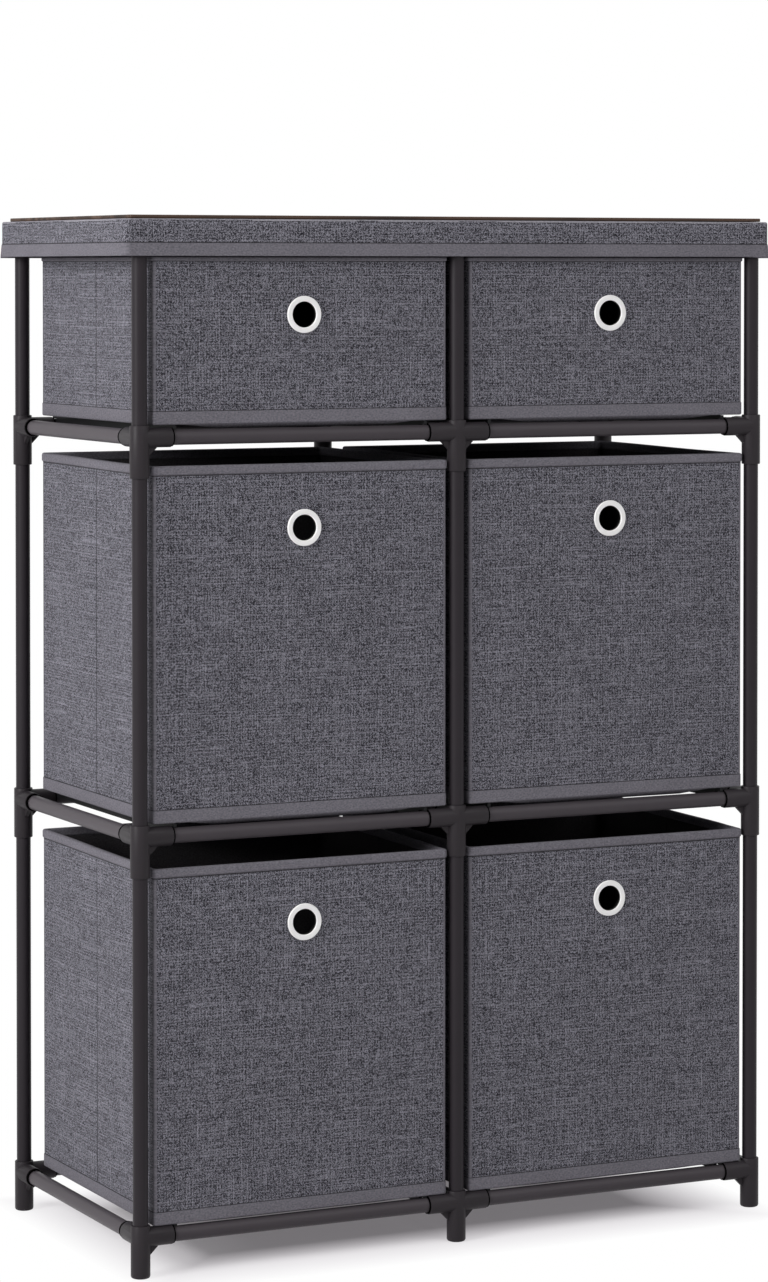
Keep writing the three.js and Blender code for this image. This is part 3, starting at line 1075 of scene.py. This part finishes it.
def arc(centre, size, first, last):
    """Points along an arc, each a radius and a height, between two angles in degrees."""
    steps = 10
    angles = [math.radians(first + (last - first) * i / steps) for i in range(steps + 1)]
    return [(centre[0] + size * math.cos(angle), centre[1] + size * math.sin(angle)) for angle in angles]


def ring_profile():
    """Radius and height over the wall of each circle round the ring: inner edge, dished face, outer edge."""
    e = chosen("eyelets")
    nose = e.front_thickness / 2
    height = e.gap + nose
    dish = ((e.hole + e.outer) / 2, e.gap + e.front_thickness - e.dish)
    inner = arc((e.hole + nose, height), nose, 270, 90)
    outer = arc((e.outer - nose, height), nose, 90, -90)
    return inner + [dish] + outer


def washer_profile():
    """The same for the barrel through the wall and the washer behind it."""
    e = chosen("eyelets")
    bore = e.hole + e.undercut
    mouth = e.gap - 0.00002
    behind = -e.wall - e.gap
    end = behind - e.back_thickness
    return [(bore, mouth), (e.barrel, mouth), (e.barrel, behind), (e.back, behind), (e.back, end),
            (bore, end)]


# Operators


class DRESSER_OT_posts(bpy.types.Operator):
    """Stands the six steel posts"""

    bl_idname = "dresser.posts"
    bl_label = "Posts"

    def execute(self, context):
        paint = powder_coat("post paint", chosen("tubes").post_paint)
        pattern = tube("post", Z_AXIS, "post_front_left")
        for row, column in POST_PLACE:
            node = f"post_{row}_{column}"
            piece = duplicate(pattern, f"{node}_tube", middle(node))
            fit(piece, RIGID_BODY, "frame_tube", [paint], node)
        discard([pattern])
        return {"FINISHED"}


class DRESSER_OT_rails(bpy.types.Operator):
    """Lays the rails of the three drawer levels and of the top"""

    bl_idname = "dresser.rails"
    bl_label = "Rails"

    def execute(self, context):
        tubes = chosen("tubes")
        # Both rail paints are lighter than the posts' coat: painted light from above and from the key lamp
        paint = powder_coat("rail paint", tubes.rail_paint)
        deep_paint_with_painted_light = powder_coat("deep rail paint", tubes.deep_paint_with_painted_light)
        wide = tube("wide rail", X_AXIS, "front_rail_left_lower")
        deep = tube("deep rail", Y_AXIS, "depth_rail_left_lower")
        to_rear = Y_AXIS * (POST_PLACE["rear", "left"].y - POST_PLACE["front", "left"].y)
        for level in (*LEVELS, "top"):
            for side in BAYS:
                name = f"rail_{side}_{level}"
                front = middle(f"front_rail_{side}_lower")
                self.lay(wide, paint, level, f"front_{name}", front, f"front_{name}")
                self.lay(wide, paint, level, f"rear_{name}", front + to_rear, f"rear_crossbar_{level}")
            for column in COLUMNS:
                name = f"depth_rail_{column}_{level}"
                self.lay(deep, deep_paint_with_painted_light, level, name, middle(f"depth_rail_{column}_lower"), name)
        discard([wide, deep])
        return {"FINISHED"}

    def lay(self, pattern, paint, level, name, place, node):
        """Copies a rail to a place, at the height of a level."""
        place = Vector((*place.xy, rail_height(level)))
        piece = duplicate(pattern, f"{name}_tube", place)
        fit(piece, RIGID_BODY, "frame_tube", [paint], "top_frame" if level == "top" else node)


class DRESSER_OT_connectors(bpy.types.Operator):
    """Moulds the feet, the connectors of each level and the caps under the cover"""

    bl_idname = "dresser.connectors"
    bl_label = "Connectors"

    def execute(self, context):
        c = chosen("connectors")
        # The second finish is the necks' painted shade
        plastic = [moulded_plastic("connector plastic", c.plastic),
                   moulded_plastic("neck plastic", c.neck_plastic, gloss=0)]
        for kind, levels in (("foot", ["lower"]), ("joint", ["middle", "upper"]), ("cap", ["top"])):
            patterns = {column: connector(kind, column) for column in COLUMNS}
            for level in levels:
                place_connectors(patterns, kind, level, plastic)
            discard(patterns.values())
        return {"FINISHED"}


class DRESSER_OT_bars(bpy.types.Operator):
    """Paints the flat bars that carry the drawers"""

    bl_idname = "dresser.bars"
    bl_label = "Support bars"

    def execute(self, context):
        paint = powder_coat("bar paint", chosen("tubes").bar_paint, 0.5)
        for name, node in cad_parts.items():
            if name.startswith("support_bar"):
                for slot in node.material_slots:
                    slot.material = paint
        return {"FINISHED"}


class DRESSER_OT_drawers(bpy.types.Operator):
    """Sews the six drawers"""

    bl_idname = "dresser.drawers"
    bl_label = "Drawers"

    def execute(self, context):
        d = chosen("drawers")
        weave = linen("drawer linen", d.linen_dark, d.linen_light)
        tape = plain_cloth("hem cloth", d.hem_colour)
        felt = plain_cloth("lining felt", d.lining_colour, gloss=0.05)
        thread = plain_cloth("seam thread", d.seam_thread_and_shade_colour)
        # The linen's second finish darkens the side creases: partly stitching, partly painted shade
        finishes = {"panels": [weave, thread], "lining": [felt], "rim": [tape], "base": [tape, felt],
                    "bindings": [tape], "seam": [thread], "base_seam": [thread]}
        for pattern_level, levels in (("lower", ("lower", "middle")), ("upper", ("upper",))):
            patterns = model_drawer(pattern_level)
            for level in levels:
                for side in BAYS:
                    pieces = copy_drawer(patterns, pattern_level, side, level)
                    for kind, piece in pieces.items():
                        fit(piece, f"{side}_{level}_drawer", "drawer_fabric", finishes[kind],
                            f"drawer_{side}_{level}")
            discard(patterns.values())
        return {"FINISHED"}


class DRESSER_OT_eyelets(bpy.types.Operator):
    """Presses a ring eyelet into the front of each drawer"""

    bl_idname = "dresser.eyelets"
    bl_label = "Eyelets"

    def execute(self, context):
        e = chosen("eyelets")
        kinds = {
            "ring": (ring_profile(), moulded_plastic("ring plastic", e.plastic, 0.34, 0.5)),
            "washer": (washer_profile(), moulded_plastic("washer plastic", e.washer)),
        }
        for kind, (profile, plastic) in kinds.items():
            pattern = turned(kind, -Y_AXIS, ORIGIN, profile, e.sides, "bridge")
            smooth(pattern)
            for level in LEVELS:
                for side in BAYS:
                    node = f"grommet_{side}_{level}"
                    piece = duplicate(pattern, f"{node}_{kind}", eyelet_place(f"{side}_{level}"))
                    fit(piece, f"{side}_{level}_drawer", "grommet", [plastic], node)
            discard([pattern])
        return {"FINISHED"}


class DRESSER_OT_cover(bpy.types.Operator):
    """Sews the cover that hangs over the top of the frame"""

    bl_idname = "dresser.cover"
    bl_label = "Top cover"

    def execute(self, context):
        s, d = chosen("cover"), chosen("drawers")
        low, high = covering_box("top_cover")
        high.x -= s.trim
        hem_top = low.z + s.hem_height
        cloth_low, cloth_high = widened(low, high, -s.hem_proud)
        cloth_low.z = hem_top - OVER
        cloth = self.sew_cloth(low, high, cloth_low, cloth_high)
        hem = self.sew_hem(low, high, hem_top)
        # The seam under the cloth is partly painted shade along the hem
        seam = seam_line("top_cover_seam", cloth_low, cloth_high, s.corner, hem_top - d.seam * 0.3)
        smooth_round_flats(seam)
        fit(seam, RIGID_BODY, "cover_fabric", [plain_cloth("cover seam thread", d.seam_thread_and_shade_colour)], "top_cover")
        return {"FINISHED"}

    def sew_cloth(self, low, high, cloth_low, cloth_high):
        """The cloth of the top and of the rippled skirt, with a painted highlight along the fold between
        them.
        """
        s, d = chosen("cover"), chosen("drawers")
        weave = linen("cover linen", d.linen_dark, d.linen_light, s.contrast)
        flat_weave = linen("cover top linen", d.linen_dark, d.linen_light, s.contrast, laid_flat=True)
        cloth = walls("top_cover_cloth", cloth_low, cloth_high, s.corner - s.hem_proud, closed=("lid",))
        slice_up(cloth, X_AXIS, low.x, high.x, COVER_STRIP)
        slice_up(cloth, Y_AXIS, low.y, high.y, COVER_STRIP)
        slice_up(cloth, Z_AXIS, cloth_low.z, cloth_high.z, SKIRT_STRIP)
        stiff_from, reach = cloth_high.z - 0.002, 0.008

        def weigh(place):
            return ramp_weight(stiff_from - place.z, reach) * ramp_weight(place.z - cloth_low.z, reach)

        def is_top_edge(edge):
            return (all(v.co.z > cloth_high.z - HAIR for v in edge.verts)
                    and len(edge.link_faces) == 2
                    and edge.link_faces[0].normal.dot(edge.link_faces[1].normal) < 0.5)

        swell(cloth, weigh, s.slack, s.slack_size)
        bevel_edges(cloth, is_top_edge, s.edge, 3)
        thicken(cloth, s.cloth)
        smooth_round_flats(cloth)
        # The lighter cloth on the rounded top edge is a painted highlight
        fold = plain_cloth("cover fold cloth", s.fold)
        skirt_place, top_place, highlight_place = range(3)
        for face in cloth.data.polygons:
            rise = face.normal.z
            face.material_index = skirt_place if rise < 0.25 else highlight_place if rise < 0.97 else top_place
        fit(cloth, RIGID_BODY, "cover_fabric", [weave, flat_weave, fold], "top_cover")
        return cloth

    def sew_hem(self, low, high, hem_top):
        """The band round the skirt's lower edge, which spreads a little and hangs lower at the rear and on
        the right."""
        s, d = chosen("cover"), chosen("drawers")
        hem = make_hem("top_cover_hem", low, Vector((*high.xy, hem_top)), s.corner,
                       s.cloth + 2 * s.hem_proud, 0.0005, COVER_HEM_STRIP)
        foot, near = low.z + 0.003, 0.004
        with editing(hem):
            pick(hem, "verts", lambda v: v.co.z < foot)
            spread = (1 + 2 * s.flare / (high.x - low.x), 1 + 2 * s.flare / (high.y - low.y), 1)
            bpy.ops.transform.resize(value=spread, center_override=(low + high) / 2)
            pick(hem, "verts", lambda v: v.co.z < foot
                 and (v.co.x > high.x - near or v.co.y > high.y - near))
            bpy.ops.transform.translate(value=(0, 0, -s.hem_sink))
        smooth_round_flats(hem)
        fit(hem, RIGID_BODY, "cover_fabric", [plain_cloth("cover hem cloth", d.hem_colour)], "top_cover")
        return hem


class DRESSER_OT_board(bpy.types.Operator):
    """Lays the thin wooden board on the cover"""

    bl_idname = "dresser.board"
    bl_label = "Top board"

    def execute(self, context):
        b = chosen("board")
        low, high = covering_box("top_board")
        end = X_AXIS * b.inset
        board = walls("top_board_panel", low + end, high - end, b.corner, closed=("floor", "lid"),
                      segments=4)
        round_edges(board, b.edge)
        smooth_round_flats(board)
        wood = stained_wood("stained board", b.heartwood, b.sapwood)
        fit(board, RIGID_BODY, "board", [wood], "top_board")
        return {"FINISHED"}


class DRESSER_OT_stage(bpy.types.Operator):
    """Sets the floor, the lamps, the sky and the camera"""

    bl_idname = "dresser.stage"
    bl_label = "Stage"

    def execute(self, context):
        s = chosen("stage")
        context.scene.view_settings.view_transform = "Standard"
        self.set_camera(context.scene, s)
        self.lay_floor(s)
        self.light_sky(context.scene, s)
        aim = Vector((0, 0, 0.45))
        self.hang_lamp("key lamp", Vector((-3.3, -0.95, 1.7)), aim, 1.3, s.key_power)
        self.hang_lamp("front lamp", Vector((1.3, -2.6, 2.8)), aim, 2.6, s.front_power)
        return {"FINISHED"}

    def set_camera(self, scene, s):
        """The horizon keeps its height in the picture, whatever part of it the tilt and the shift make."""
        lens = bpy.data.cameras.new("camera")
        lens.lens = s.lens
        lens.shift_y = -s.horizon + s.lens / lens.sensor_width * math.tan(s.camera_dip)
        camera = bpy.data.objects.new("camera", lens)
        camera.location = s.camera_place
        camera.rotation_euler = (math.radians(90) - s.camera_dip, 0, -s.camera_turn)
        scene.collection.objects.link(camera)
        scene.camera = camera

    def lay_floor(self, s):
        deselect()
        bpy.ops.mesh.primitive_plane_add(size=30)
        floor = settle("floor")
        floor.data.materials.append(studio_floor("studio floor", s))

    def light_sky(self, scene, s):
        """Soft light that grows upwards and to the back, and a sky that looks white where it shows."""
        scene.world = bpy.data.worlds.new("sky")
        sky = Finish(scene.world, "Generated")
        _, y, z = sky.coordinates()
        rise = clamp((y + z) * 0.5 + 0.5)
        strength = rise * (s.sky_behind - s.sky_front) + s.sky_front
        white = {"Color": (1, 1, 1, 1)}
        dome = sky.node("ShaderNodeBackground", sockets={**white, "Strength": strength})
        backdrop = sky.node("ShaderNodeBackground", sockets={**white, "Strength": 1.0})
        both = sky.node("ShaderNodeMixShader", sockets={
            0: seen_by_eye(sky), 1: dome.outputs["Background"], 2: backdrop.outputs["Background"],
        })
        sky.node("ShaderNodeOutputWorld", sockets={"Surface": both.outputs["Shader"]})

    def hang_lamp(self, name, place, aim, size, power):
        """A square softbox turned towards a point."""
        light = bpy.data.lights.new(name, "AREA")
        light.size = size
        light.energy = power
        lamp = bpy.data.objects.new(name, light)
        lamp.location = place
        lamp.rotation_euler = (aim - place).to_track_quat("-Z", "Y").to_euler()
        bpy.context.scene.collection.objects.link(lamp)


class DRESSER_PT_parts(bpy.types.Panel):
    """The dresser's pieces"""

    bl_idname = "DRESSER_PT_parts"
    bl_label = "Fabric Drawer Dresser"
    bl_space_type = "VIEW_3D"
    bl_region_type = "UI"
    bl_category = "Dresser"

    def draw(self, context):
        for operator in OPERATORS:
            self.layout.operator(operator.bl_idname)
        for name in SETTINGS:
            box = self.layout.box()
            group = getattr(context.scene, name)
            for key in group.bl_rna.properties.keys():
                if key not in ("rna_type", "name"):
                    box.prop(group, key)


SETTINGS = {
    "dresser_tubes": TubeSettings,
    "dresser_connectors": ConnectorSettings,
    "dresser_drawers": DrawerSettings,
    "dresser_eyelets": EyeletSettings,
    "dresser_cover": CoverSettings,
    "dresser_board": BoardSettings,
    "dresser_stage": StageSettings,
}
OPERATORS = (
    DRESSER_OT_stage,
    DRESSER_OT_posts,
    DRESSER_OT_rails,
    DRESSER_OT_connectors,
    DRESSER_OT_bars,
    DRESSER_OT_drawers,
    DRESSER_OT_eyelets,
    DRESSER_OT_cover,
    DRESSER_OT_board,
)


def register():
    for group in (*SETTINGS.values(), *OPERATORS, DRESSER_PT_parts):
        bpy.utils.register_class(group)
    for name, group in SETTINGS.items():
        setattr(bpy.types.Scene, name, PointerProperty(type=group))


def unregister():
    for name in SETTINGS:
        delattr(bpy.types.Scene, name)
    for group in (DRESSER_PT_parts, *OPERATORS, *SETTINGS.values()):
        bpy.utils.unregister_class(group)


def main():
    register()
    bpy.ops.dresser.stage()
    bpy.ops.dresser.posts()
    bpy.ops.dresser.rails()
    bpy.ops.dresser.connectors()
    bpy.ops.dresser.bars()
    bpy.ops.dresser.drawers()
    bpy.ops.dresser.eyelets()
    bpy.ops.dresser.cover()
    bpy.ops.dresser.board()


if __name__ == "__main__":
    main()
